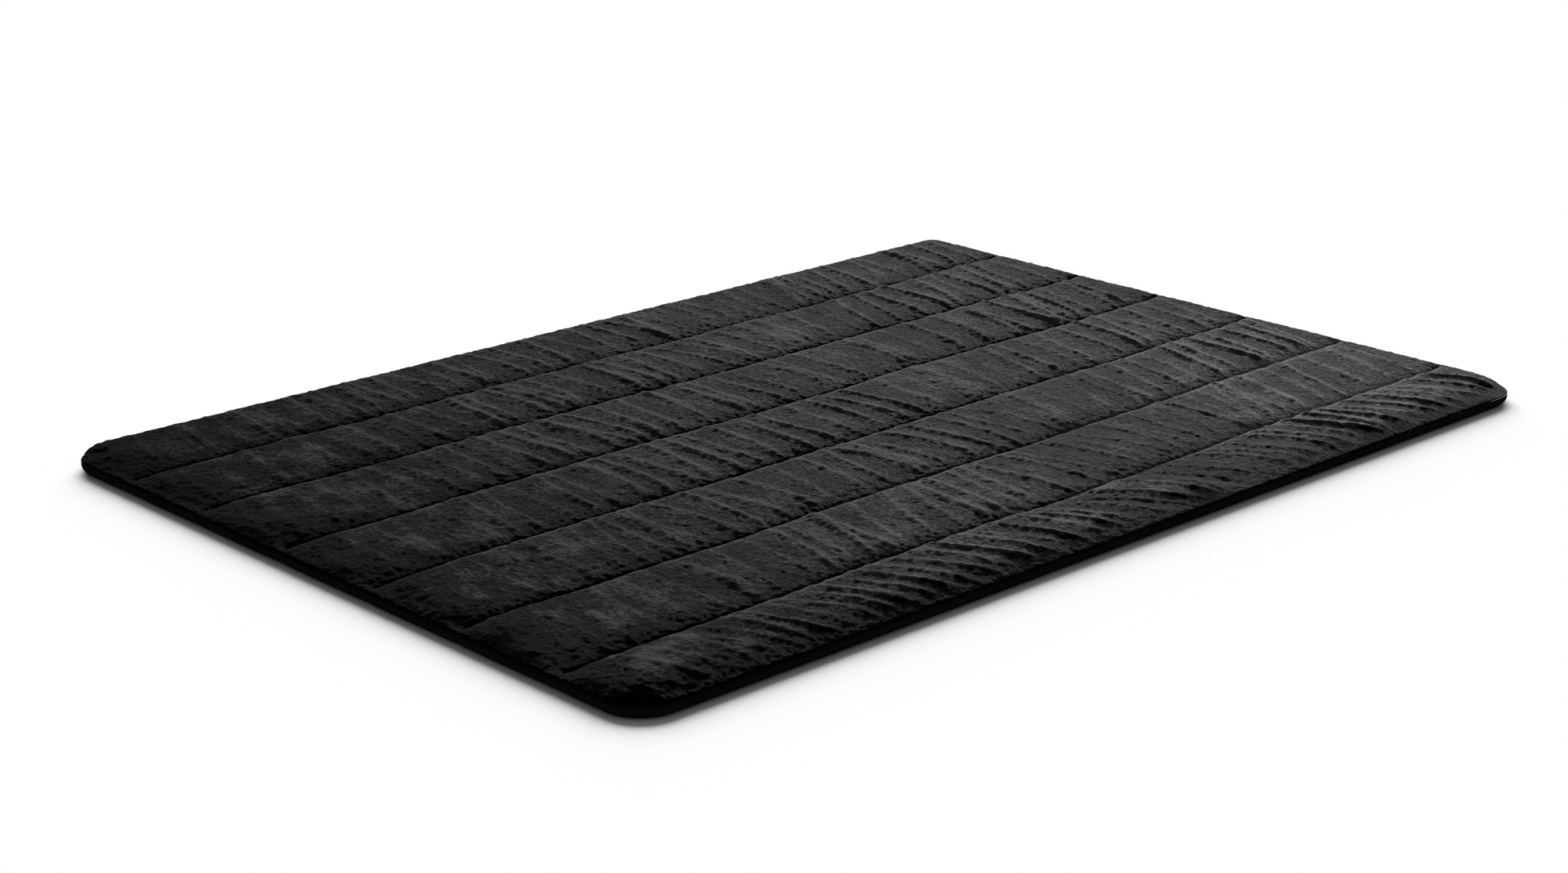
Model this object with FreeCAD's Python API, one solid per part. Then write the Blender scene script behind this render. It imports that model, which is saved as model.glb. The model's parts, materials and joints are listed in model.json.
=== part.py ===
import FreeCAD, Part
import math
import os

# Thin quilted futon mattress, lying flat with its plush side up.
#
# Two panels, a plush top and a plain backing, meet at a perimeter seam part-way up the edge.
# Six lengthwise quilting seams sew them together and divide the filling into seven channels.
# Every channel is one stiff body: plush cover, wadding, foam core, backing and perimeter thread.
# Neighbouring channels turn about the quilting seam between them, where the filling is pinched
# away, so each channel's section runs to a blunt point there, in a groove above and below.
#
# Millimetres. Origin at the middle of the underside, +X along the length, +Z up.
# Channel 1 is at the +Y side and channel 7 at the -Y side; seam k joins channels k and k + 1.

# Overall size
LENGTH = 2000.0
WIDTH = 1400.0
THICKNESS = 32.0

# Outline in plan and round its edges
CORNER_RADIUS = 70.0
SHARP_CORNER_RADIUS = 20.0  # the corner of channel 1 at the +X end
TOP_EDGE_RADIUS = 12.0
BOTTOM_EDGE_RADIUS = 15.0

# Quilting
CHANNELS = 7
SEAM_PITCH = 210.0  # width of every inner channel; the two outer ones share what is left
SEAM_HEIGHT = 19.0  # the fold axes and the perimeter seam, above the underside
GROOVE_ANGLE = 29.0  # degrees from upright to each groove wall, over half of a seam's fold
SHOULDER_RADIUS = 14.0  # where a groove wall turns over into the channel's top
SHOULDER_DROP = 1.0  # the unrounded shoulder, below the channel's top
CROWN_RISE = 4.0  # the channel's arched top over its shoulders, cut flat at THICKNESS

# Layers
COVER_THICKNESS = 3.0  # plush fabric with its pile
BACKING_THICKNESS = 1.2
THREAD_RADIUS = 0.6
THREAD_CLEARANCE = 0.5  # between a quilting thread and the channels beside it

OVERSIZE = 10.0  # how far a cutting shape reaches past what it cuts
TOLERANCE = 0.01


def seam_y(number):
    """Place across the mat of quilting seam 1 to 6."""
    return (CHANNELS / 2 - number) * SEAM_PITCH


def rounded_block(inset):
    """The whole mat as one rounded block, drawn in by inset on every side."""
    half_length = LENGTH / 2 - inset
    half_width = WIDTH / 2 - inset
    corner = FreeCAD.Vector(-half_length, -half_width, inset)
    block = Part.makeBox(2 * half_length, 2 * half_width, THICKNESS - 2 * inset, corner)
    for radius in (CORNER_RADIUS, SHARP_CORNER_RADIUS):
        uprights = []
        for edge in block.Edges:
            box = edge.BoundBox
            upright = box.XLength < TOLERANCE and box.YLength < TOLERANCE
            at_corner = abs(box.XMin) > half_length - TOLERANCE and abs(box.YMin) > half_width - TOLERANCE
            sharp = box.XMin > 0 and box.YMin > 0
            if upright and at_corner and sharp == (radius == SHARP_CORNER_RADIUS):
                uprights.append(edge)
        block = block.makeFillet(radius - inset, uprights)
    for height, radius in ((THICKNESS - inset, TOP_EDGE_RADIUS), (inset, BOTTOM_EDGE_RADIUS)):
        rim = []
        for edge in block.Edges:
            box = edge.BoundBox
            if abs(box.ZMin - height) < TOLERANCE and box.ZLength < TOLERANCE:
                rim.append(edge)
        block = block.makeFillet(radius - inset, rim)
    return block


def groove_side(number, towards, inset):
    """Points beside a seam, from under the mat up to the shoulder, as (y, z).

    towards is +1 for the channel on the seam's +Y side and -1 for the other one.
    """
    slope = math.tan(math.radians(GROOVE_ANGLE))
    apex = inset / math.cos(math.radians(GROOVE_ANGLE))
    tip = max(apex, THREAD_RADIUS + THREAD_CLEARANCE)
    blunt = (tip - apex) / slope
    bottom = -OVERSIZE
    top = THICKNESS - SHOULDER_DROP - inset
    outline = [
        (apex + (SEAM_HEIGHT - bottom) * slope, bottom),
        (tip, SEAM_HEIGHT - blunt),
    ]
    if blunt > TOLERANCE:
        outline.append((tip, SEAM_HEIGHT + blunt))
    outline.append((apex + (top - SEAM_HEIGHT) * slope, top))
    return [(seam_y(number) + towards * y, z) for y, z in outline]


def free_side(towards, inset):
    """An outer channel's open side, clear of the rounded block that shapes it."""
    y = towards * (WIDTH / 2 + OVERSIZE)
    return [(y, -OVERSIZE), (y, THICKNESS - SHOULDER_DROP - inset)]


def channel_prism(number, inset):
    """A channel's section, drawn in by inset, run along the whole length."""
    if number < CHANNELS:
        low_side = groove_side(number, 1, inset)
    else:
        low_side = free_side(-1, inset)
    if number > 1:
        high_side = groove_side(number - 1, -1, inset)
    else:
        high_side = free_side(1, inset)

    start_x = -LENGTH / 2 - OVERSIZE
    points = [FreeCAD.Vector(start_x, y, z) for y, z in low_side[::-1] + high_side]
    low_shoulder = points[0]
    high_shoulder = points[-1]
    crown = (low_shoulder + high_shoulder) / 2 + FreeCAD.Vector(0, 0, CROWN_RISE)
    edges = [Part.makeLine(a, b) for a, b in zip(points, points[1:])]
    edges.append(Part.Arc(high_shoulder, crown, low_shoulder).toShape())
    face = Part.Face(Part.Wire(Part.__sortEdges__(edges)))
    prism = face.extrude(FreeCAD.Vector(LENGTH + 2 * OVERSIZE, 0, 0))

    shoulders = []
    for edge in prism.Edges:
        box = edge.BoundBox
        lengthwise = box.XLength > LENGTH
        at_shoulder = abs(box.ZMin - low_shoulder.z) < TOLERANCE
        beside_seam = abs(box.YMin) < WIDTH / 2
        if lengthwise and at_shoulder and beside_seam:
            shoulders.append(edge)
    return prism.makeFillet(SHOULDER_RADIUS - inset, shoulders)


def slice_between(shape, low, high):
    """The part of a shape between two heights."""
    corner = FreeCAD.Vector(-LENGTH, -WIDTH, low)
    return shape.common(Part.makeBox(2 * LENGTH, 2 * WIDTH, high - low, corner))


def perimeter_thread(number):
    """Sewing thread in the perimeter seam, round the edges of one channel."""
    x = LENGTH / 2 - THREAD_RADIUS
    gap = THREAD_RADIUS + THREAD_CLEARANCE
    if 1 < number < CHANNELS:
        low = FreeCAD.Vector(x, seam_y(number) + gap, SEAM_HEIGHT)
        run = seam_y(number - 1) - seam_y(number) - 2 * gap
        across = FreeCAD.Vector(0, 1, 0)
        right = Part.makeCylinder(THREAD_RADIUS, run, low, across)
        left = Part.makeCylinder(THREAD_RADIUS, run, low - FreeCAD.Vector(2 * x, 0, 0), across)
        return Part.makeCompound([left, right])

    side = 1 if number == 1 else -1
    start_y = side * (seam_y(1) + gap)
    edge_y = side * (WIDTH / 2 - THREAD_RADIUS)
    left_radius = CORNER_RADIUS - THREAD_RADIUS
    right_radius = (SHARP_CORNER_RADIUS if number == 1 else CORNER_RADIUS) - THREAD_RADIUS

    def at(px, py):
        return FreeCAD.Vector(px, py, SEAM_HEIGHT)

    def corner(towards_x, radius):
        """Quarter turn from the end of the mat to its long edge."""
        centre = at(towards_x * (x - radius), edge_y - side * radius)
        half = radius * math.sqrt(0.5)
        first = centre + FreeCAD.Vector(towards_x * radius, 0, 0)
        middle = centre + FreeCAD.Vector(towards_x * half, side * half, 0)
        last = centre + FreeCAD.Vector(0, side * radius, 0)
        return first, middle, last

    left_first, left_middle, left_last = corner(-1, left_radius)
    right_first, right_middle, right_last = corner(1, right_radius)
    path = Part.Wire([
        Part.makeLine(at(-x, start_y), left_first),
        Part.Arc(left_first, left_middle, left_last).toShape(),
        Part.makeLine(left_last, right_last),
        Part.Arc(right_last, right_middle, right_first).toShape(),
        Part.makeLine(right_first, at(x, start_y)),
    ])
    ring = Part.makeCircle(THREAD_RADIUS, at(-x, start_y), FreeCAD.Vector(0, side, 0))
    return path.makePipeShell([Part.Wire([ring])], True, True)


def quilting_thread(number):
    """Thread of one quilting seam, along the axis that its two channels turn about."""
    half = LENGTH / 2 - COVER_THICKNESS
    start = FreeCAD.Vector(-half, seam_y(number), SEAM_HEIGHT)
    return Part.makeCylinder(THREAD_RADIUS, 2 * half, start, FreeCAD.Vector(1, 0, 0))


def build_parts():
    """Every piece of the mattress by its name."""
    blocks = {}
    for inset in (0.0, COVER_THICKNESS, BACKING_THICKNESS):
        blocks[inset] = rounded_block(inset)

    pieces = {}
    for number in range(1, CHANNELS + 1):
        outside = blocks[0.0].common(channel_prism(number, 0.0))
        in_cover = blocks[COVER_THICKNESS].common(channel_prism(number, COVER_THICKNESS))
        in_backing = blocks[BACKING_THICKNESS].common(channel_prism(number, BACKING_THICKNESS))

        upper = slice_between(outside, SEAM_HEIGHT + THREAD_RADIUS, THICKNESS + OVERSIZE)
        lower = slice_between(outside, -OVERSIZE, SEAM_HEIGHT - THREAD_RADIUS)
        pieces[f"plush_cover_{number}"] = upper.cut(in_cover)
        pieces[f"wadding_{number}"] = slice_between(in_cover, SEAM_HEIGHT, THICKNESS)
        pieces[f"foam_core_{number}"] = slice_between(in_backing, 0.0, SEAM_HEIGHT)
        pieces[f"backing_{number}"] = lower.cut(in_backing)
        pieces[f"edge_thread_{number}"] = perimeter_thread(number)
    for number in range(1, CHANNELS):
        pieces[f"quilting_thread_{number}"] = quilting_thread(number)
    return pieces


def main():
    os.makedirs("parts", exist_ok=True)
    for name, shape in build_parts().items():
        shape.exportStep(f"parts/{name}.step")
        print(f"{name}: {len(shape.Solids)} solid(s), {shape.Volume / 1000:.1f} cm3, {shape.isValid()}")


main()
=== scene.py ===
import json
import math

import bpy
import numpy as np
from mathutils import Matrix, Vector


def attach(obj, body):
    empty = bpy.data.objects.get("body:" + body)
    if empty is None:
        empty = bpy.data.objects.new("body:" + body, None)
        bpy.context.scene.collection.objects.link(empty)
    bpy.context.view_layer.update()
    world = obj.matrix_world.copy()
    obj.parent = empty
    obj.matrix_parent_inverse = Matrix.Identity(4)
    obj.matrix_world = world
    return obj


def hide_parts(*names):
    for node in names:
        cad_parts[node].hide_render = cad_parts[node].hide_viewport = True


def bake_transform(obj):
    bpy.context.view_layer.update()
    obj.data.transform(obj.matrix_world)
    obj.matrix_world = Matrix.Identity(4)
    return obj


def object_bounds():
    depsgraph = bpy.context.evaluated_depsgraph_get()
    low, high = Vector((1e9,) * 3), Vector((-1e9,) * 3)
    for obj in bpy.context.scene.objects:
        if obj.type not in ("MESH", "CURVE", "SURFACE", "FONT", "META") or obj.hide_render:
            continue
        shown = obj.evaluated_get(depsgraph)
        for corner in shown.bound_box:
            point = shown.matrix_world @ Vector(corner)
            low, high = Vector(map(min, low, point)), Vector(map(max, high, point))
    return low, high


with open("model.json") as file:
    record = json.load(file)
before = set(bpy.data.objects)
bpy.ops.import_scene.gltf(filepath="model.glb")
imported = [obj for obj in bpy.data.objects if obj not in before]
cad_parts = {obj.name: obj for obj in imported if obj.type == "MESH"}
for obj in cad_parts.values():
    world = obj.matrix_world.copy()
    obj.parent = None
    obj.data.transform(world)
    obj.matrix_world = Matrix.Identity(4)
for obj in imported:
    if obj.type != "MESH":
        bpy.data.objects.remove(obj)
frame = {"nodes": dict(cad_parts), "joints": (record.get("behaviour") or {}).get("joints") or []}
cad_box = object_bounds()

# A thin quilted futon mattress: a short-pile plush top and a woven backing, both sewn through
# along six lengthwise seams. Each panel is worked out as a flat cloth, in "cloth coordinates"
# that run along and across the mat and on over its rounded edge. It is then wrapped onto the
# block that the CAD gives.
#
# Metres throughout. X runs along the seams and Y across them. The left end is at -X, and the
# near edge at -Y. Channel 1 is the far one, and seam k joins channels k and k + 1.

# Sizes from the frame
LOW, HIGH = cad_box
HALF_LENGTH = (HIGH.x - LOW.x) / 2
HALF_WIDTH = (HIGH.y - LOW.y) / 2
THICKNESS = HIGH.z
JOINTS = sorted(frame["joints"], key=lambda joint: joint["name"])
SEAMS = [joint["pos_m"][1] for joint in JOINTS]  # from the far seam to the near one
AXIS_Z = JOINTS[0]["pos_m"][2]
HALF_PITCH = (SEAMS[0] - SEAMS[1]) / 2
CHANNELS = len(SEAMS) + 1

# The cloth's own sizes
CORNER = 0.070
SHARP_CORNER = 0.020  # the far one at the right end
CURL_RADIUS = 0.004  # where a panel turns in to the perimeter seam
RIM_INSET = 0.004  # of the perimeter seam from the mat's widest outline
RIM_SOFTENING = 0.006  # width of cloth over which relief dies out at the perimeter seam
SEAM_GAP = 0.0004  # from the perimeter seam's height to each panel's closing face

# Lattice of both panels
EDGE_STEPS = 13  # steps round the mat's edge
ROW_SPREAD = (0.46, 0.54)  # linear and squared shares, for rows that crowd beside a seam
SINK_POWER = 6  # of the soft maximum of a panel's own drop and its thinning


# ---------------------------------------------------------------- helpers

def smooth(t):
    """0 to 1 with soft ends."""
    t = np.clip(t, 0, 1)
    return t * t * (3 - 2 * t)


def noise(x, y, size, seed):
    """A smooth random field from -1 to 1, whose blobs are about size metres across."""
    cells = 512
    grid = np.random.default_rng(seed).uniform(-1, 1, (cells, cells))
    u = x / size + 100.5
    v = y / size + 100.5
    i = np.floor(u).astype(int)
    j = np.floor(v).astype(int)
    fu = smooth(u - i)
    fv = smooth(v - j)
    i0, i1 = i % cells, (i + 1) % cells
    j0, j1 = j % cells, (j + 1) % cells
    low = grid[i0, j0] * (1 - fu) + grid[i1, j0] * fu
    high = grid[i0, j1] * (1 - fu) + grid[i1, j1] * fu
    return low * (1 - fv) + high * fv


def cubic_weights(t):
    """Catmull-Rom weights of the four samples round a place t between the middle two."""
    return [((2 - t) * t - 1) * t / 2, ((3 * t - 5) * t * t + 2) / 2,
            ((4 - 3 * t) * t + 1) * t / 2, (t - 1) * t * t / 2]


def sample_grid(values, u, v):
    """Smoothly interpolated values[v, u] at fractional places."""
    rows, cols = values.shape
    i = np.clip(np.floor(u).astype(int), 0, cols - 2)
    j = np.clip(np.floor(v).astype(int), 0, rows - 2)
    across = cubic_weights(np.clip(u - i, 0, 1))
    along = cubic_weights(np.clip(v - j, 0, 1))
    total = np.zeros_like(u)
    for b in range(4):
        for a in range(4):
            near = values[np.clip(j + b - 1, 0, rows - 1), np.clip(i + a - 1, 0, cols - 1)]
            total += along[b] * across[a] * near
    return total


def grid_quads(grid):
    """Quads between the neighbours of a grid of vertex numbers."""
    quads = np.stack([grid[:-1, :-1], grid[:-1, 1:], grid[1:, 1:], grid[1:, :-1]], axis=-1)
    return quads.reshape(-1, 4)


def new_object(name, vertices, faces, materials=(), face_material=None, cloth=None,
               normals=None, tone_and_painted_light=None):
    """A smooth-shaded mesh object.

    faces is a list of groups: an array of faces with equal numbers of corners, or a list of
    faces. The last three hold one row for each vertex: its cloth coordinates, for the UV map,
    its normal, and its tone from light (1) to dark (-1), which mixes the nap's own patches
    with painted highlights and painted shade.
    """
    corners = []
    sizes = []
    for group in faces:
        if isinstance(group, list):
            corners.append(np.concatenate([np.ravel(face) for face in group]))
            sizes.append([len(face) for face in group])
        else:
            corners.append(group.ravel())
            sizes.append(np.full(len(group), group.shape[1]))
    corners = np.concatenate(corners).astype(np.int32)
    sizes = np.concatenate(sizes)
    starts = np.concatenate([[0], np.cumsum(sizes)[:-1]]).astype(np.int32)
    mesh = bpy.data.meshes.new(name)
    mesh.vertices.add(len(vertices))
    mesh.vertices.foreach_set("co", np.asarray(vertices, np.float32).ravel())
    mesh.loops.add(len(corners))
    mesh.loops.foreach_set("vertex_index", corners)
    mesh.polygons.add(len(starts))
    mesh.polygons.foreach_set("loop_start", starts)
    for material in materials:
        mesh.materials.append(material)
    if face_material is not None:
        mesh.polygons.foreach_set("material_index", np.asarray(face_material, np.int32))
    mesh.polygons.foreach_set("use_smooth", np.ones(len(starts), bool))
    if cloth is not None:
        layer = mesh.uv_layers.new(name="cloth")
        layer.data.foreach_set("uv", np.asarray(cloth, np.float32)[corners].ravel())
    # Per-vertex tone, with painted highlights and painted shade in it
    if tone_and_painted_light is not None:
        layer = mesh.attributes.new("tone_and_painted_light", "FLOAT", "POINT")
        layer.data.foreach_set("value", np.asarray(tone_and_painted_light, np.float32))
    mesh.update(calc_edges=True)
    mesh.validate()
    if normals is not None:
        mesh.normals_split_custom_set_from_vertices(np.asarray(normals, np.float32))
    made = bpy.data.objects.new(name, mesh)
    bpy.context.scene.collection.objects.link(made)
    return made


# ---------------------------------------------------------------- the block that the cloth wraps

class Panel:
    """One side of the mattress, wrapped onto the rounded block: the plush top or the backing.

    inset is how far it lies inside the block, level is its height, and facing is 1 or -1 for
    up or down. The other three set the lattice: its step along the mat, its rows from a seam
    to the next crown line, and its step from the outer crown lines to the long edges.
    """

    def __init__(self, inset, level, facing, column_step, seam_rows, edge_row_step):
        self.inset = inset
        self.level = level
        self.facing = facing
        self.column_step = column_step
        self.seam_rows = seam_rows
        self.edge_row_step = edge_row_step
        self.curl_angle = math.acos(1 - (RIM_INSET - inset) / CURL_RADIUS)
        self.radius = abs(level - AXIS_Z) - CURL_RADIUS * math.sin(self.curl_angle)
        self.roll = self.radius * math.pi / 2 + CURL_RADIUS * self.curl_angle
        self.flat_x = HALF_LENGTH - inset - self.radius
        self.flat_y = HALF_WIDTH - inset - self.radius

    def edge_profile(self, over):
        """Outward reach, drop and tilt, at a distance along the cloth past its edge's start."""
        quarter = self.radius * math.pi / 2
        turn = np.clip(over / self.radius, 0, math.pi / 2)
        curl = np.clip((over - quarter) / CURL_RADIUS, 0, self.curl_angle)
        out = self.radius * np.sin(turn) - CURL_RADIUS * (1 - np.cos(curl))
        drop = self.radius * (1 - np.cos(turn)) + CURL_RADIUS * np.sin(curl)
        return out, drop, turn + curl

    def wrap(self, x, y, lift=0.0, wander=0.0, thinned=0.0):
        """Points for cloth coordinates x and y, lifted off the block and shifted across the mat.

        thinned is how far the panel sinks towards the perimeter seam where its edge is drawn in.
        """
        corner = np.where((x > 0) & (y > 0), SHARP_CORNER, CORNER) - self.inset
        core_x = HALF_LENGTH - self.inset - corner
        core_y = HALF_WIDTH - self.inset - corner
        past_x = np.maximum(np.abs(x) - core_x, 0)
        past_y = np.maximum(np.abs(y) - core_y, 0)
        reach = np.maximum(past_x, past_y)
        length = np.maximum(np.hypot(past_x, past_y), 1e-9)
        over = reach - (corner - self.radius)
        out, drop, tilt = self.edge_profile(over)
        radial = np.where(over > 0, corner - self.radius + out, reach)
        aim_x = np.sign(x) * past_x / length
        aim_y = np.sign(y) * past_y / length
        side = np.sin(tilt) * lift
        px = np.sign(x) * np.minimum(np.abs(x), core_x) + aim_x * (radial + side)
        py = np.sign(y) * np.minimum(np.abs(y), core_y) + aim_y * (radial + side) + wander
        deepest = (thinned ** SINK_POWER + drop ** SINK_POWER) ** (1 / SINK_POWER)
        sink = (deepest - drop) * smooth((self.roll - over) / RIM_SOFTENING)
        pz = self.level + self.facing * (np.cos(tilt) * lift - drop - sink)
        return np.stack([px, py, pz], axis=-1)

    def columns(self):
        """Cloth coordinates along the length, closer together round both ends."""
        count = round(2 * self.flat_x / self.column_step)
        middle = np.linspace(-self.flat_x, self.flat_x, count + 1)
        edge = self.flat_x + self.roll * np.arange(1, EDGE_STEPS + 1) / EDGE_STEPS
        return np.concatenate([-edge[::-1], middle, edge])

    def rows(self):
        """Cloth coordinates across the mat, from the near edge on, and each piece's share.

        Pieces meet on the channels' crown lines: one piece along each long edge, and one over
        each seam.
        """
        crown = crown_line(1)
        count = round((self.flat_y - crown) / self.edge_row_step)
        flat = np.linspace(crown, self.flat_y, count + 1)
        edge = self.flat_y + self.roll * np.arange(1, EDGE_STEPS + 1) / EDGE_STEPS
        outer = np.concatenate([flat, edge])
        t = np.arange(self.seam_rows + 1) / self.seam_rows
        linear, squared = ROW_SPREAD
        spread = linear * t + squared * t * t
        rows = list(-outer[::-1])
        shares = {"near_edge": (0, len(rows) - 1)}
        for number in range(len(SEAMS), 0, -1):
            seam = SEAMS[number - 1]
            below = seam + (crown_line(number + 1) - seam) * spread[::-1]
            above = seam + (crown_line(number) - seam) * spread
            first = len(rows) - 1
            rows += list(below[1:]) + list(above[1:])
            shares[number] = (first, len(rows) - 1)
        shares["far_edge"] = (len(rows) - 1, len(rows) - 1 + len(outer) - 1)
        rows += list(outer[1:])
        return np.array(rows), shares


def crown_line(channel):
    """Cloth coordinate across the mat of the middle of channel 1 to 7."""
    edges = [HALF_WIDTH] + SEAMS + [-HALF_WIDTH]
    return (edges[channel - 1] + edges[channel]) / 2


TOP = Panel(inset=0.002, level=THICKNESS, facing=1,
            column_step=0.003, seam_rows=40, edge_row_step=0.003)
BACK = Panel(inset=0.0, level=0.0, facing=-1,
             column_step=0.006, seam_rows=18, edge_row_step=0.006)


# ---------------------------------------------------------------- the plush's folds

# Places along the mat in each pair of lists, and the values there

# How the puckers lean as they cross a channel, along the mat per distance across it
LEANS = {
    CHANNELS - 1: ([-1.0, -0.6, -0.25, 0.1, 0.35, 0.55, 1.0],
                   [0.15, 0.05, 0.22, -0.16, -0.12, 0.38, 0.15]),
    CHANNELS: ([-1.0, -0.6, 0.0, 0.5, 1.0],
               [-0.30, -0.42, -0.62, -0.50, -0.55]),
}
USUAL_LEAN = ([-1.0, -0.6, -0.3, 0.1, 0.30, 0.42, 0.6, 1.0],
              [0.20, 0.00, -0.06, -0.14, -0.05, 0.25, 0.14, 0.10])
LEAN_SCATTER = 0.09  # of each fold about the lean usual at its place

# The small folds
FOLD_HEIGHT = ([-1.0, -0.85, -0.65, -0.45, 0.15, 0.24, 0.34, 0.55, 0.70, 1.0],
               [0.0006, 0.0013, 0.0016, 0.0021, 0.0021, 0.0007, 0.0015, 0.0026, 0.0029, 0.0027])
FOLD_HEIGHT_SPREAD = (0.5, 1.25)  # times the usual height
FOLD_WIDTHS = (0.0050, 0.0085)
FOLD_BOW = 0.006  # scatter of how far a fold's middle lies along the mat from its ends
FOLD_RUN = (-0.96, 0.97)  # from the first fold to where no more start
FOLD_PITCHES = [0.028, 0.046, 0.052, 0.060]
PITCH_SPREAD = (0.85, 1.15)  # times the pitch drawn
NEAR_FOLD_PITCHES = [0.034, 0.040, 0.046]  # in the near channel, whose folds are higher
NEAR_FOLD_GAIN = 1.4

# The few large folds of a channel, as place, lean, bow, width and height
BROAD_FOLDS = [(0.290, 0.25, 0.0, 0.017, 0.0028), (-0.720, 0.25, 0.0, 0.020, 0.0012)]
BIG_FOLDS = {
    2: BROAD_FOLDS,
    4: BROAD_FOLDS,
    5: BROAD_FOLDS,
    CHANNELS: [(0.045, -0.75, 0.0, 0.023, -0.0034), (0.205, -0.65, 0.0, 0.021, -0.0048),
               (0.125, -0.60, 0.0, 0.026, 0.0024), (-0.740, -0.70, 0.0, 0.035, -0.0026)],
}


def fold_lines(channel):
    """A channel's small folds, from left to right, as place, lean, bow, width and height."""
    random = np.random.default_rng(60 + channel)
    near = channel == CHANNELS
    pitches = NEAR_FOLD_PITCHES if near else FOLD_PITCHES
    gain = NEAR_FOLD_GAIN if near else 1
    folds = []
    place, end = FOLD_RUN
    while place < end:
        usual = np.interp(place, *LEANS.get(channel, USUAL_LEAN))
        lean = usual + random.normal(0, LEAN_SCATTER)
        height = np.interp(place, *FOLD_HEIGHT) * random.uniform(*FOLD_HEIGHT_SPREAD) * gain
        bow = random.normal(0, FOLD_BOW)
        width = random.uniform(*FOLD_WIDTHS)
        folds.append((place, lean, bow, width, height))
        place += random.choice(pitches) * random.uniform(*PITCH_SPREAD)
    return folds


def fold_relief(folds, x, across):
    """Height of a channel's folds; across runs from -1 at its near seam to 1 at its far one."""
    total = np.zeros_like(x)
    for place, lean, bow, width, height in folds:
        offset = x - place - lean * HALF_PITCH * across - bow * (1 - across ** 2)
        away = np.abs(offset / width)
        ridge = 0.55 * np.exp(-away ** 1.6)
        skirt = 0.45 * np.exp(-(away / 3) ** 1.4)
        total += height * (ridge + skirt)
    return total


# ---------------------------------------------------------------- gathering, by cloth simulation

# Spare length sewn into the plush, as a share, at places from the left end to the right one
GATHER = ([-1.0, -0.8, -0.6, -0.3, 0.12, 0.20, 0.27, 0.36, 0.6, 1.0],
          [0.004, 0.007, 0.015, 0.024, 0.026, 0.011, 0.009, 0.026, 0.034, 0.034])
SPARE_WIDTH = 1.004  # cut width of a channel's sheet per sewn width

SIM_STEP = 0.006
SIM_FRAMES = 22
SIM_RAMP = 12  # the frame at which the sheet's pinned rim has reached its sewn size
START_BOW = 0.004  # height of a sheet's middle at the start
START_FOLDS = 1.5  # times the final folds' height
START_NOISE = 0.0002  # height of the random relief at the start

# Shares of the simulated relief that reach the mat: firm wadding keeps the valleys flat
PUCKER_CRESTS = 0.4
PUCKER_VALLEYS = 0.10


def gathered_sheet(channel):
    """A flat channel of plush, cut longer than its seams, that its pinned rim squeezes to size."""
    rim = TOP.flat_y + TOP.roll
    edges = [rim] + SEAMS + [-rim]
    high, low = edges[channel - 1], edges[channel]
    half = TOP.flat_x + TOP.roll
    columns = round(2 * half / SIM_STEP) + 1
    rows = round((high - low) / SIM_STEP) + 1
    xs = np.linspace(-half, half, columns)
    ys = np.linspace(low, high, rows)
    x, y = np.meshgrid(xs, ys)
    middle = (low + high) / 2
    across = (y - middle) / (high - low) * 2
    spare = np.interp(xs, *GATHER)
    lean = np.interp(xs, *LEANS.get(channel, USUAL_LEAN))
    longer = np.concatenate([[0], np.cumsum((spare[1:] + spare[:-1]) / 2 * np.diff(xs))])
    longer = longer - longer[columns // 2]
    shear = -spare * np.tan(2 * np.arctan(lean))
    seeds = (START_FOLDS * fold_relief(fold_lines(channel), x, across)
             + START_NOISE * noise(x, y, size=0.05, seed=30 + channel))
    start = START_BOW * (1 - across ** 2) + (1 - across ** 4) * seeds
    cut_y = middle + (y - middle) * SPARE_WIDTH
    cut = np.stack([x + longer + shear * (y - middle), cut_y, start], axis=-1)
    sewn = np.stack([x, y, start], axis=-1)
    grid = np.arange(rows * columns).reshape(rows, columns)
    sheet = new_object(f"sheet_{channel}", cut.reshape(-1, 3), [grid_quads(grid)])
    sheet.shape_key_add(name="cut")
    squeezed = sheet.shape_key_add(name="sewn")
    squeezed.data.foreach_set("co", sewn.ravel())
    for value, at in ((0, 1), (1, SIM_RAMP)):
        squeezed.value = value
        squeezed.keyframe_insert("value", frame=at)
    pinned = np.concatenate([grid[0], grid[-1], grid[:, 0], grid[:, -1]])
    sheet.vertex_groups.new(name="pin").add([int(i) for i in pinned], 1.0, "REPLACE")
    modifier = sheet.modifiers.new("cloth", "CLOTH")
    cloth = modifier.settings
    cloth.quality = 4
    cloth.mass = 0.05
    cloth.tension_stiffness = cloth.compression_stiffness = 40
    cloth.shear_stiffness = 12
    cloth.bending_stiffness = 0.08
    cloth.vertex_group_mass = "pin"
    cloth.effector_weights.gravity = 0
    cloth.use_pressure = True
    cloth.uniform_pressure_force = 0.5
    modifier.collision_settings.use_collision = False
    modifier.point_cache.frame_start = 1
    modifier.point_cache.frame_end = SIM_FRAMES
    return sheet, (rows, columns), (low, high, half)


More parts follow.
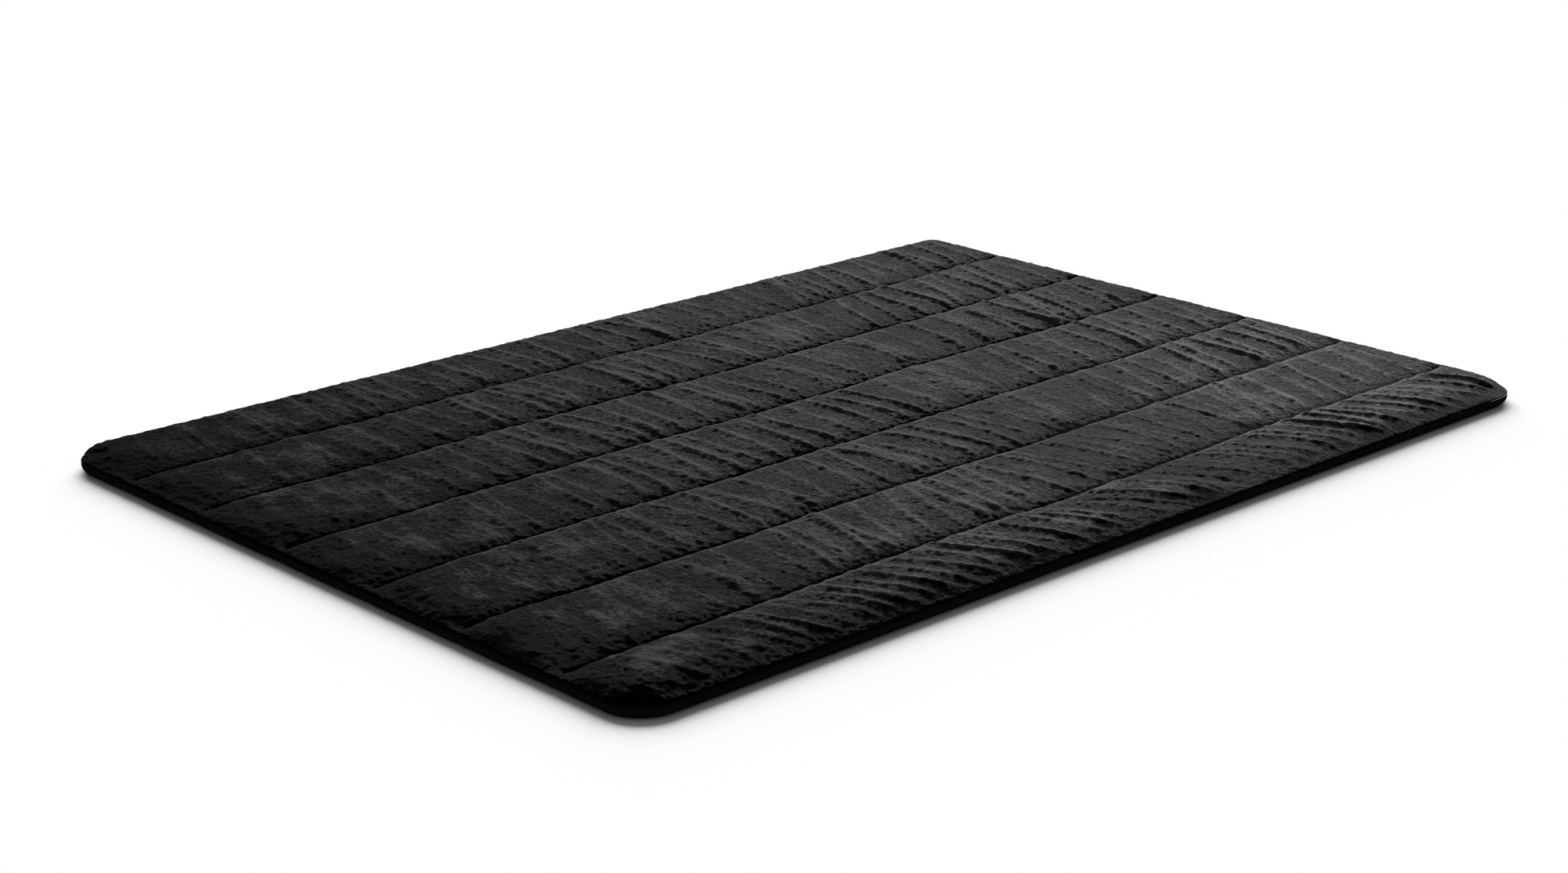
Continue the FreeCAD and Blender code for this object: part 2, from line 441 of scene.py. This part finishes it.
def simulate_gathers():
    """Relief of the gathered plush in every channel: a grid of heights, and the box it covers."""
    sheets = [gathered_sheet(channel) for channel in range(1, CHANNELS + 1)]
    scene = bpy.context.scene
    for at in range(1, SIM_FRAMES + 1):
        scene.frame_set(at)
    graph = bpy.context.evaluated_depsgraph_get()
    reliefs = []
    for sheet, (rows, columns), box in sheets:
        mesh = sheet.evaluated_get(graph).data
        points = np.zeros(rows * columns * 3)
        mesh.vertices.foreach_get("co", points)
        height = points.reshape(rows, columns, 3)[..., 2]
        height = height - height.mean(axis=1, keepdims=True)
        soft = np.pad(height, 1, mode="edge")
        soft = (soft[:-2] + 2 * soft[1:-1] + soft[2:]) / 4
        soft = (soft[:, :-2] + 2 * soft[:, 1:-1] + soft[:, 2:]) / 4
        reliefs.append((soft, box))
    scene.frame_set(1)
    for sheet, _, _ in sheets:
        mesh = sheet.data
        action = mesh.shape_keys.animation_data.action
        bpy.data.objects.remove(sheet)
        bpy.data.meshes.remove(mesh)
        bpy.data.actions.remove(action)
    return reliefs


GATHERS = simulate_gathers()


def ripples(x, y):
    """Height of all puckers at cloth coordinates: the simulated ones and the fold lines."""
    total = np.zeros_like(x)
    if GATHERS is None:
        return total
    for channel, (height, (low, high, half)) in enumerate(GATHERS, start=1):
        inside = (y > low) & (y < high)
        rows, columns = height.shape
        u = (x[inside] + half) / (2 * half) * (columns - 1)
        v = (y[inside] - low) / (high - low) * (rows - 1)
        puckers = sample_grid(height, u, v)
        puckers = np.where(puckers > 0, PUCKER_CRESTS * puckers, PUCKER_VALLEYS * puckers)
        across = (y[inside] - crown_line(channel)) / HALF_PITCH
        folds = fold_lines(channel) + BIG_FOLDS.get(channel, [])
        total[inside] = puckers + fold_relief(folds, x[inside], across)
    return total


# ---------------------------------------------------------------- relief and tone of both panels

# How far each seam, from the far one, lies off its straight line at its left and right ends
SEAM_DRIFT = [(-0.013, -0.012), (0.005, -0.013), (-0.005, -0.006), (-0.010, -0.009),
              (-0.010, -0.008), (-0.009, -0.008)]
JOG = -0.0030  # shift that all seams share in the middle of the mat

ROLL_DEPTH = 0.0068  # of the plush's roll from a crown down to a seam
SHOULDER_POWERS = (3.4, 6.0)  # how steep that roll is on a seam's far and near side
CREASE_DEPTH = 0.0022  # of the stitched line
CREASE_WIDTH = 0.0028
HELD_WIDTHS = (0.020, 0.007)  # puckers die out this near to a seam, on its far and near side

# Sinking of the plush towards each edge, as width and depth
LEFT_SLOPE = (0.085, 0.0090)
RIGHT_SLOPE = (0.030, 0.0020)
FAR_SLOPE = (0.030, 0.0020)
NEAR_SLOPE = (0.080, 0.0095)
LEAST_EDGE = 0.0018  # height of the plush left over the perimeter seam

# Thinning at the tip of the near right-hand corner
TAPER_REACH = 0.11
TOP_TAPER = 0.0100
BACK_TAPER = 0.0080

GROOVE_DEPTH = 0.0165  # of the backing, drawn up at a seam
GROOVE_WIDTH = 0.026


def seam_wave(x, number):
    """How far a seam wanders from its straight line, across the mat, at each place along it."""
    left, right = SEAM_DRIFT[number - 1]
    drift = left + (right - left) * (x / HALF_LENGTH + 1) / 2
    own = 0.0022 * np.sin(2 * math.pi * x / 0.83 + 1.7 * number)
    own = own + 0.0012 * np.sin(2 * math.pi * x / 0.31 + 2.9 * number)
    shared = JOG * (smooth((x + 0.17) / 0.06) - smooth((x - 0.17) / 0.07))
    return drift + own + shared


def seam_distance(y):
    """Distance to the nearest quilting seam."""
    return np.min([np.abs(y - seam) for seam in SEAMS], axis=0)


def corner_taper(x, y):
    """1 at the tip of the near right-hand corner, to 0 a hand's width inside."""
    away = np.hypot(np.maximum(HALF_LENGTH - x, 0), np.maximum(HALF_WIDTH + y, 0))
    return smooth(1 - away / TAPER_REACH)


def slope_off(distance, width, depth):
    """Drop towards an edge that is distance away."""
    return depth * np.clip(1 - distance / width, 0, 1) ** 2


def edge_sinking(x, y):
    """How far the plush sinks towards its edges and its thin corner."""
    return (slope_off(HALF_LENGTH + x, *LEFT_SLOPE) + slope_off(HALF_LENGTH - x, *RIGHT_SLOPE)
            + slope_off(HALF_WIDTH - y, *FAR_SLOPE) + slope_off(HALF_WIDTH + y, *NEAR_SLOPE)
            + TOP_TAPER * corner_taper(x, y))


def nap_patches(x, y, over):
    """Tone of the nap apart from its folds: matted patches, darkened by painted shade at the left
    end, the near edge, the rounded edge and over the left third, and by two darker bands.
    """
    blotch = noise(x, y, size=0.025, seed=6)
    fuzz = noise(x, y, size=0.006, seed=7)
    from_left = HALF_LENGTH + x + 0.018 * blotch + 0.005 * fuzz
    from_near = HALF_WIDTH + y + 0.012 * blotch + 0.010 * fuzz
    # Painted shade: darker towards the left end and the near edge, and over the rounded edge all
    # round.
    painted_edge_shade = (2.6 * smooth(1 - from_left / 0.12) + 3.0 * smooth(1 - from_near / 0.065)
            + 3.0 * smooth((over + 0.004) / 0.009))
    patches = 0.7 * noise(x, y, size=0.045, seed=8) + 0.4 * noise(x, y, size=0.018, seed=9)
    matted = smooth((-0.40 - x) / 0.45) * patches
    # Painted shade over the left third, darker towards the left end.
    painted_left_shade = 0.35 * smooth((-0.35 - x) / 0.3)
    right_band = 0.45 * np.exp(-(((x - 0.46) / 0.11) ** 2)) * (1 + blotch)
    near_middle = 0.9 * np.exp(-(((x - 0.23) / 0.15) ** 2)) * smooth((0.15 - y) / 0.55)
    return matted - painted_edge_shade - (painted_left_shade + right_band + near_middle)


def top_lift(x, y, over):
    """Lift of the plush off the block, its tone from light (1) to dark (-1) with painted
    highlights and painted shade in it, and its sinking.

    over is the distance along the cloth past the start of the mat's rounded edge.
    """
    distance = seam_distance(y)
    past_seam = np.min([np.where(y > seam, y - seam, 9) for seam in SEAMS], axis=0)
    far_side = past_seam == distance  # of the nearest seam
    ends = smooth((HALF_LENGTH - np.abs(x)) / 0.045)
    steep = np.where(far_side, *SHOULDER_POWERS)
    roll = -ROLL_DEPTH * np.clip(1 - distance / HALF_PITCH, 0, 1) ** steep * (0.6 + 0.4 * ends)
    crease = -CREASE_DEPTH * np.exp(-((distance / CREASE_WIDTH) ** 1.3)) * (0.35 + 0.65 * ends)

    held = 1 - np.exp(-((distance / np.where(far_side, *HELD_WIDTHS)) ** 2))
    held = held * smooth((HALF_WIDTH + y) / 0.045)
    inland = smooth((0.034 - over - TOP.radius) / 0.034 + 0.3)
    gathered = ripples(x, y) * held * inland
    uneven = 1 + 1.2 * smooth((-0.45 - x) / 0.4)
    swell = uneven * (0.0008 * noise(x, y, size=0.10, seed=1)
                      + 0.0005 * noise(x, y, size=0.04, seed=2))
    pile = (0.00060 * noise(x, y, size=0.0095, seed=3)
            + 0.00065 * noise(x, y, size=0.0052, seed=4))

    fade = 1 - 0.85 * smooth((over + 0.012) / (TOP.radius + 0.012))
    rim = smooth((TOP.roll - over) / RIM_SOFTENING)
    lift = (roll + crease + gathered + swell * held) * fade
    deepest = THICKNESS - AXIS_Z - LEAST_EDGE + np.minimum(lift, 0)
    sinking = np.minimum(edge_sinking(x, y), deepest)

    # Painted highlight on the raised folds and painted shade in the hollows between them.
    painted_fold_light = 0.65 * np.clip((gathered - 0.0006) / 0.0014, -0.6, 1)
    # Painted highlight: a light band on the near side of each seam, where the roll faces the
    # far-side light.
    painted_seam_highlight = 0.85 * np.exp(-((distance - 0.011) / 0.007) ** 2) * ~far_side
    # Painted shade along each stitched crease, in proportion to its depth.
    tone = (painted_fold_light + painted_seam_highlight) * fade + 2 * crease / CREASE_DEPTH + nap_patches(x, y, over)
    return lift * (0.3 + 0.7 * rim) + pile * rim, tone, sinking


def back_lift(x, y, over):
    """The same for the backing: drawn up at every seam, flat on the ground between them."""
    distance = seam_distance(y)
    ends = smooth((HALF_LENGTH - np.abs(x)) / 0.060)
    drawn = np.clip(1 - distance / GROOVE_WIDTH, 0, 1) ** 2.2 * (0.08 + 0.92 * ends)
    crinkle = (-0.0007 * (1 + noise(x, y, size=0.03, seed=5))
               * np.exp(-((distance / 0.045) ** 2)))
    fade = 1 - 0.75 * smooth(over / BACK.radius)
    lift = (-GROOVE_DEPTH * drawn + crinkle) * fade
    return lift, -drawn, BACK_TAPER * corner_taper(x, y)


def lattice(panel, lift_of):
    """Points, normals, cloth coordinates and tones of a panel, and each piece's share of rows."""
    ys, shares = panel.rows()
    x, y = np.meshgrid(panel.columns(), ys)
    over = np.maximum(np.abs(x) - panel.flat_x, np.abs(y) - panel.flat_y)
    wander = np.zeros_like(x)
    for number, seam in enumerate(SEAMS, start=1):
        wander += (1 - smooth(np.abs(y - seam) / HALF_PITCH)) * seam_wave(x, number)
    lift, tone, thinned = lift_of(x, y, over)
    points = panel.wrap(x, y, lift, wander, thinned)
    normals = np.cross(np.gradient(points, axis=1), np.gradient(points, axis=0)) * panel.facing
    normals /= np.maximum(np.linalg.norm(normals, axis=-1, keepdims=True), 1e-12)
    return points, normals, np.stack([x, y], axis=-1), tone, shares


# ---------------------------------------------------------------- closed quilt pieces

CLOTH, FILLING = 0, 1  # a piece's two materials
CAP_ROWS = [0.0, 0.006, 0.014, 0.026]  # rows of the closing face, each side of a seam
CAP_COLUMN_STRIDE = 4  # lattice columns per column of the closing face
CAP_MARGIN = 0.002  # of the closing face from the start of a long edge's roll


def bridge(outer, inner):
    """Faces between a fine rim and a coarser one that run the same way."""
    made = []
    position = 0
    share = (len(outer) - 1) / (len(inner) - 1)
    for step in range(len(inner) - 1):
        upto = round(share * (step + 1))
        made.append(list(outer[position:upto + 1]) + [inner[step + 1], inner[step]])
        position = upto
    return made


def closing_face(panel, cloth_xs, cap_ys):
    """Coarse grid of points for a piece's flat face at the perimeter seam, inside its cloth."""
    flat_xs = cloth_xs[EDGE_STEPS:-EDGE_STEPS]
    cap_xs = flat_xs[::CAP_COLUMN_STRIDE]
    if cap_xs[-1] != flat_xs[-1]:
        cap_xs = np.append(cap_xs, flat_xs[-1])
    cap = panel.wrap(*np.meshgrid(cap_xs, cap_ys))
    cap[..., 2] = AXIS_Z + panel.facing * SEAM_GAP
    return cap


def quilt_piece(name, panel, points, normals, cloth, tone, cap_ys, materials):
    """A closed padded piece: its cloth outside, and inside a flat face at the perimeter seam."""
    rows, cols = points.shape[:2]
    grid = np.arange(rows * cols).reshape(rows, cols)
    cap = closing_face(panel, cloth[0, :, 0], cap_ys)
    inside = rows * cols + np.arange(cap.shape[0] * cap.shape[1]).reshape(cap.shape[:2])
    quads = grid_quads(grid)
    closing = np.roll(grid_quads(inside)[:, ::-1], 1, axis=1)

    # Walls between the cloth's rim and the closing face. Those beside a neighbouring piece
    # show the filling. Then come the walls at both ends, and a fan at each corner.
    first, last = EDGE_STEPS, cols - EDGE_STEPS - 1
    near_rim, far_rim = grid[0, first:last + 1], grid[-1, first:last + 1]
    walls = bridge(near_rim, inside[0]) + bridge(far_rim[::-1], inside[-1][::-1])
    wall_kinds = []
    for row in (0, -1):
        kind = FILLING if abs(cloth[row, 0, 1]) < panel.flat_y else CLOTH
        wall_kinds += [kind] * (len(walls) // 2)
    walls += bridge(grid[::-1, 0], inside[::-1, 0]) + bridge(grid[:, -1], inside[:, -1])
    walls += [list(grid[0, :first + 1]) + [inside[0, 0]],
              list(grid[0, last:]) + [inside[0, -1]],
              list(grid[-1, :first + 1][::-1]) + [inside[-1, 0]],
              list(grid[-1, last:][::-1]) + [inside[-1, -1]]]
    wall_kinds += [CLOTH] * (len(walls) - len(wall_kinds))
    if panel.facing > 0:
        walls = [wall[::-1] for wall in walls]
    else:
        quads, closing = quads[:, ::-1], closing[:, ::-1]
    kinds = [CLOTH] * len(quads) + [FILLING] * len(closing) + wall_kinds

    inward = np.zeros((inside.size, 3))
    inward[:, 2] = -panel.facing
    return new_object(
        name,
        vertices=np.concatenate([points.reshape(-1, 3), cap.reshape(-1, 3)]),
        faces=[quads, closing, walls],
        materials=materials,
        face_material=kinds,
        cloth=np.concatenate([cloth.reshape(-1, 2), cap[..., :2].reshape(-1, 2)]),
        normals=np.concatenate([normals.reshape(-1, 3), inward]),
        tone_and_painted_light=np.concatenate([tone.ravel(), np.zeros(inside.size)]),
    )


# ---------------------------------------------------------------- materials

def node_material(name):
    """A new node material with its tree and its principled shader."""
    material = bpy.data.materials.new(name)
    material.use_nodes = True
    tree = material.node_tree
    return material, tree, tree.nodes["Principled BSDF"]


def cloth_vector(tree, scale, turn=0.0):
    """Cloth coordinates, turned about the cloth's normal; scale is in periods per metre."""
    uv = tree.nodes.new("ShaderNodeUVMap")
    uv.uv_map = "cloth"
    turned = tree.nodes.new("ShaderNodeMapping")
    turned.inputs["Rotation"].default_value = (0, 0, turn)
    turned.inputs["Scale"].default_value = (*scale, 1)
    tree.links.new(uv.outputs["UV"], turned.inputs["Vector"])
    return turned.outputs["Vector"]


def noise_node(tree, vector, detail=2.0, roughness=0.5):
    """Noise from 0 to 1 whose size comes from the vector's own scale."""
    node = tree.nodes.new("ShaderNodeTexNoise")
    node.inputs["Scale"].default_value = 1.0
    node.inputs["Detail"].default_value = detail
    node.inputs["Roughness"].default_value = roughness
    tree.links.new(vector, node.inputs["Vector"])
    return node.outputs["Fac"]


def math_node(tree, operation, a, b):
    """One operation on two fields or numbers."""
    node = tree.nodes.new("ShaderNodeMath")
    node.operation = operation
    for socket, value in zip(node.inputs, (a, b)):
        if isinstance(value, (int, float)):
            socket.default_value = value
        else:
            tree.links.new(value, socket)
    return node.outputs["Value"]


def mix_tones(tree, *parts):
    """Weighted sum of (field, weight) pairs."""
    total = 0.0
    for field, weight in parts:
        total = math_node(tree, "ADD", total, math_node(tree, "MULTIPLY", field, weight))
    return total


def ramp_node(tree, factor, stops):
    """A colour ramp of (position, grey or colour) stops."""
    node = tree.nodes.new("ShaderNodeValToRGB")
    for index, (position, value) in enumerate(stops):
        if index < 2:
            element = node.color_ramp.elements[index]
            element.position = position
        else:
            element = node.color_ramp.elements.new(position)
        color = (value, value, value) if isinstance(value, (int, float)) else value
        element.color = (*color, 1)
    tree.links.new(factor, node.inputs["Fac"])
    return node.outputs["Color"]


def bump_node(tree, height, distance):
    """A normal bumped by a field from 0 to 1 that stands for distance metres."""
    node = tree.nodes.new("ShaderNodeBump")
    node.inputs["Distance"].default_value = distance
    tree.links.new(height, node.inputs["Height"])
    return node.outputs["Normal"]


def plush_material():
    """Charcoal plush: fine tufts, combed streaks, darker and lighter patches, and the painted
    highlights and painted shade that each vertex's tone carries.
    """
    material, tree, shader = node_material("plush")
    tufts = noise_node(tree, cloth_vector(tree, (150, 150)), 4, 0.75)
    streaks = noise_node(tree, cloth_vector(tree, (190, 60), math.radians(35)), 2)
    patches = noise_node(tree, cloth_vector(tree, (14, 14)), 3)
    grain = mix_tones(tree, (tufts, 0.65), (streaks, 0.35))
    tone_and_painted_light = tree.nodes.new("ShaderNodeAttribute")
    tone_and_painted_light.attribute_name = "tone_and_painted_light"
    # The vertex tone mixes the nap's own patches with painted highlights on folds and beside
    # seams, and painted shade in creases and towards the edges.
    tone = mix_tones(tree, (grain, 1.0), (patches, 0.35), (tone_and_painted_light.outputs["Fac"], 0.17))
    color = ramp_node(tree, tone, [(0.54, 0.0008), (0.81, 0.048), (0.66, 0.008)])
    roughness = ramp_node(tree, tufts, [(0.3, 0.95), (0.7, 0.75)])
    tree.links.new(color, shader.inputs["Base Color"])
    tree.links.new(roughness, shader.inputs["Roughness"])
    shader.inputs["Specular IOR Level"].default_value = 0.005
    shader.inputs["Sheen Weight"].default_value = 0.005
    shader.inputs["Sheen Roughness"].default_value = 0.4
    tree.links.new(bump_node(tree, grain, 0.009), shader.inputs["Normal"])
    return material


def backing_material():
    """Matt black plain-weave backing."""
    material, tree, shader = node_material("backing")
    threads = []
    for direction in ("X", "Y"):
        wave = tree.nodes.new("ShaderNodeTexWave")
        wave.bands_direction = direction
        wave.inputs["Scale"].default_value = 1.0
        tree.links.new(cloth_vector(tree, (160, 160)), wave.inputs["Vector"])
        threads.append(wave.outputs["Fac"])
    weave = math_node(tree, "MULTIPLY", *threads)
    fuzz = noise_node(tree, cloth_vector(tree, (700, 700)), 2)
    worn = noise_node(tree, cloth_vector(tree, (9, 9)), 3)
    tone = mix_tones(tree, (weave, 0.5), (fuzz, 0.35), (worn, 0.35))
    color = ramp_node(tree, tone, [(0.2, 0.0025), (0.9, 0.011)])
    roughness = ramp_node(tree, weave, [(0.0, 0.95), (1.0, 0.8)])
    tree.links.new(color, shader.inputs["Base Color"])
    tree.links.new(roughness, shader.inputs["Roughness"])
    shader.inputs["Specular IOR Level"].default_value = 0.0
    tree.links.new(bump_node(tree, tone, 0.0006), shader.inputs["Normal"])
    return material


def filling_material(name, dark, light, scale, distance):
    """Loose filling seen inside: fibrous wadding or open foam, bumped by distance metres."""
    material, tree, shader = node_material(name)
    fibres = noise_node(tree, cloth_vector(tree, scale), 4, 0.65)
    color = ramp_node(tree, fibres, [(0.3, dark), (0.7, light)])
    roughness = ramp_node(tree, fibres, [(0.3, 1.0), (0.7, 0.8)])
    tree.links.new(color, shader.inputs["Base Color"])
    tree.links.new(roughness, shader.inputs["Roughness"])
    tree.links.new(bump_node(tree, fibres, distance), shader.inputs["Normal"])
    return material


def thread_material():
    """Black twisted sewing thread."""
    material, tree, shader = node_material("thread")
    texture = tree.nodes.new("ShaderNodeTexCoord")
    wave = tree.nodes.new("ShaderNodeTexWave")
    wave.bands_direction = "DIAGONAL"
    wave.inputs["Scale"].default_value = 900
    tree.links.new(texture.outputs["Object"], wave.inputs["Vector"])
    twist = wave.outputs["Fac"]
    color = ramp_node(tree, twist, [(0.2, 0.001), (0.8, 0.004)])
    roughness = ramp_node(tree, twist, [(0.2, 0.8), (0.8, 0.6)])
    tree.links.new(color, shader.inputs["Base Color"])
    tree.links.new(roughness, shader.inputs["Roughness"])
    shader.inputs["Specular IOR Level"].default_value = 0.03
    tree.links.new(bump_node(tree, twist, 0.0002), shader.inputs["Normal"])
    return material


PLUSH = plush_material()
BACKING = backing_material()
WADDING = filling_material("wadding", dark=(0.55, 0.54, 0.50), light=(0.86, 0.85, 0.82),
                           scale=(60, 220), distance=0.002)
FOAM = filling_material("foam", dark=(0.50, 0.46, 0.34), light=(0.80, 0.76, 0.62),
                        scale=(300, 300), distance=0.001)
THREAD = thread_material()


# ---------------------------------------------------------------- the pieces

STITCH_PITCH = 0.0052
STITCH_LENGTH = 0.0046
STITCH_RADIUS = 0.00045
STITCH_RISE = 0.0005  # of a stitch's middle over its seam's line
STITCH_DIP = 0.0007  # of its ends below its middle
STITCH_RINGS = 7
STITCH_SIDES = 6
STITCH_MARGIN = 0.02  # from each end of the seam to its row of stitches


def bend_over_seam(piece):
    """Bake a piece's place into its mesh, leaving it attached to neither channel."""
    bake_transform(piece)


def add_quilt(kind, panel, lift_of, materials, nodes):
    """All eight pieces of one panel, and the line of its cloth along each seam."""
    points, normals, cloth, tone, shares = lattice(panel, lift_of)
    seam_lines = {}
    for share, (first, last) in shares.items():
        part = slice(first, last + 1)
        ys = cloth[part, 0, 1]
        if share in ("far_edge", "near_edge"):
            limit = panel.flat_y - CAP_MARGIN
            cap_ys = [ys[0], limit] if share == "far_edge" else [-limit, ys[-1]]
            channels = [1 if share == "far_edge" else CHANNELS]
        else:
            seam = SEAMS[share - 1]
            reach = [-d for d in CAP_ROWS[:0:-1]] + CAP_ROWS
            cap_ys = [ys[0]] + [seam + d for d in reach] + [ys[-1]]
            channels = [share, share + 1]
            seam_lines[share] = points[first + panel.seam_rows]
        piece = quilt_piece(f"{kind}_{share}", panel, points[part], normals[part], cloth[part],
                            tone[part], cap_ys, materials)
        if len(channels) == 1:
            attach(piece, f"channel_{channels[0]}")
        else:
            bend_over_seam(piece)
        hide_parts(*[f"{node}_{channel}" for node in nodes for channel in channels])
    return seam_lines


def stitch_row(line, outward):
    """Vertices, sides and ends of a row of lockstitches that lie along a line of points."""
    starts = np.arange(line[0, 0] + STITCH_MARGIN, line[-1, 0] - STITCH_MARGIN, STITCH_PITCH)
    t = np.linspace(-1, 1, STITCH_RINGS)
    turn = np.arange(STITCH_SIDES) / STITCH_SIDES * 2 * math.pi
    radius = STITCH_RADIUS * np.sqrt(np.clip(1 - t ** 4, 0.02, 1))
    x = starts[:, None] + (t + 1) / 2 * STITCH_LENGTH
    y = np.interp(x, line[:, 0], line[:, 1])
    bow = STITCH_RISE - STITCH_DIP * t ** 2
    z = np.interp(x, line[:, 0], line[:, 2]) + outward * bow
    vertices = np.zeros((len(starts), STITCH_RINGS, STITCH_SIDES, 3))
    vertices[..., 0] = x[..., None]
    vertices[..., 1] = y[..., None] + np.cos(turn) * radius[:, None]
    vertices[..., 2] = z[..., None] + np.sin(turn) * radius[:, None]
    index = np.arange(vertices[..., 0].size).reshape(vertices.shape[:3])
    near, far = index[:, :-1], index[:, 1:]
    sides = np.stack([near, far, np.roll(far, -1, axis=2), np.roll(near, -1, axis=2)], axis=-1)
    ends = np.concatenate([index[:, 0], index[:, -1, ::-1]])
    return vertices.reshape(-1, 3), sides.reshape(-1, 4), ends


def add_stitches(top_lines, back_lines):
    """Lockstitches in every quilting seam, on the plush and on the backing."""
    for number in top_lines:
        above, above_sides, above_ends = stitch_row(top_lines[number], 1)
        below, below_sides, below_ends = stitch_row(back_lines[number], -1)
        faces = [above_sides, above_ends, below_sides + len(above), below_ends + len(above)]
        piece = new_object(f"quilting_stitches_{number}", np.concatenate([above, below]), faces,
                           [THREAD])
        bend_over_seam(piece)
        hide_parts(f"quilting_thread_{number}")


top_lines = add_quilt("plush_quilt", TOP, top_lift, [PLUSH, WADDING],
                      ["plush_cover", "wadding"])
back_lines = add_quilt("backing_quilt", BACK, back_lift, [BACKING, FOAM],
                       ["backing", "foam_core"])
add_stitches(top_lines, back_lines)

for node_name, node in frame["nodes"].items():
    if node_name.startswith("edge_thread"):
        node.data.materials.clear()
        node.data.materials.append(THREAD)


# ---------------------------------------------------------------- floor, light and camera

FLOOR_REACH = 30
FLOOR_Z = -0.0003

CAMERA_AZIMUTH = math.radians(43.41)  # of its aim, from +Y towards +X
CAMERA_ELEVATION = math.radians(18.27)
CAMERA_DISTANCE = 4.621
CAMERA_TARGET = (-0.0564, 0.0286, 0)
CAMERA_LENS = 64.3
CAMERA_SENSOR = 36


def add_floor():
    """A pale floor, and the light-linking collections for only the floor and for all but it."""
    ring = [(-1, -1), (1, -1), (1, 1), (-1, 1)]
    floor = new_object("floor", [(x * FLOOR_REACH, y * FLOOR_REACH, FLOOR_Z) for x, y in ring],
                       [[[0, 1, 2, 3]]])
    material, tree, shader = node_material("floor")
    shader.inputs["Base Color"].default_value = (0.86, 0.86, 0.86, 1)
    shader.inputs["Roughness"].default_value = 1.0
    shader.inputs["Specular IOR Level"].default_value = 0.0
    floor.data.materials.append(material)
    linked = []
    for state in ("INCLUDE", "EXCLUDE"):
        receivers = bpy.data.collections.new(f"floor_{state.lower()}d")
        receivers.objects.link(floor)
        receivers.collection_objects[0].light_linking.link_state = state
        linked.append(receivers)
    return linked


def add_lamp(name, kind, place, aim, power, size, receivers, width=1.0):
    """A soft lamp aimed at a point: a sun with a wide disc, or a spot that is wide along Y.

    size is a sun's angle, or a spot's cone angle and radius.
    """
    light = bpy.data.lights.new(name, kind)
    light.energy = power
    if kind == "SPOT":
        light.spot_size, light.shadow_soft_size = size
        light.spot_blend = 1.0
    else:
        light.angle = size
    lamp = bpy.data.objects.new(name, light)
    lamp.light_linking.receiver_collection = receivers
    lamp.location = place
    back = (Vector(place) - Vector(aim)).normalized()
    wide = (Vector((0, 1, 0)) - back.y * back).normalized()
    lamp.rotation_euler = Matrix((wide, back.cross(wide), back)).transposed().to_euler()
    lamp.scale = (width, 1, 1)
    lamp.visible_camera = False
    bpy.context.scene.collection.objects.link(lamp)


def add_world(ambient):
    """White to the camera, and a weak even light on everything else."""
    world = bpy.data.worlds.new("studio")
    world.use_nodes = True
    tree = world.node_tree
    back = tree.nodes["Background"]
    back.inputs["Color"].default_value = (1, 1, 1, 1)
    path = tree.nodes.new("ShaderNodeLightPath")
    seen = math_node(tree, "MULTIPLY", path.outputs["Is Camera Ray"], 1.0 - ambient)
    tree.links.new(math_node(tree, "ADD", seen, ambient), back.inputs["Strength"])
    bpy.context.scene.world = world


def add_camera():
    """A long lens a little above the mat, looking along it from the near left corner."""
    level = math.cos(CAMERA_ELEVATION)
    forward = Vector((math.sin(CAMERA_AZIMUTH) * level, math.cos(CAMERA_AZIMUTH) * level,
                      -math.sin(CAMERA_ELEVATION)))
    data = bpy.data.cameras.new("camera")
    data.lens = CAMERA_LENS
    data.sensor_width = CAMERA_SENSOR
    data.clip_end = 100
    camera = bpy.data.objects.new("camera", data)
    camera.location = Vector(CAMERA_TARGET) - forward * CAMERA_DISTANCE
    camera.rotation_euler = (math.pi / 2 - CAMERA_ELEVATION, 0, -CAMERA_AZIMUTH)
    bpy.context.scene.collection.objects.link(camera)
    bpy.context.scene.camera = camera


only_floor, all_but_floor = add_floor()
add_world(ambient=0.18)
add_lamp("backdrop", "SUN", place=(3, 3.4, 2.8), aim=(0, 0, 0), power=5.9,
         size=math.radians(60), receivers=only_floor)
add_lamp("sweep", "SUN", place=(2.2, 3.8, 1.0), aim=(0, 0, 0), power=2.2,
         size=math.radians(16), receivers=all_but_floor)
add_lamp("key", "SPOT", place=(5.6, 3.9, 1.52), aim=(0.02, -0.2, 0), power=5900,
         size=(math.radians(8.4), 0.3), receivers=all_but_floor, width=3.6)
add_lamp("fill", "SPOT", place=(3.4, 0.3, 0.9), aim=(0.88, -0.60, 0), power=1400,
         size=(math.radians(20), 0.2), receivers=all_but_floor, width=1.5)
add_camera()
bpy.context.scene.view_settings.view_transform = "Standard"
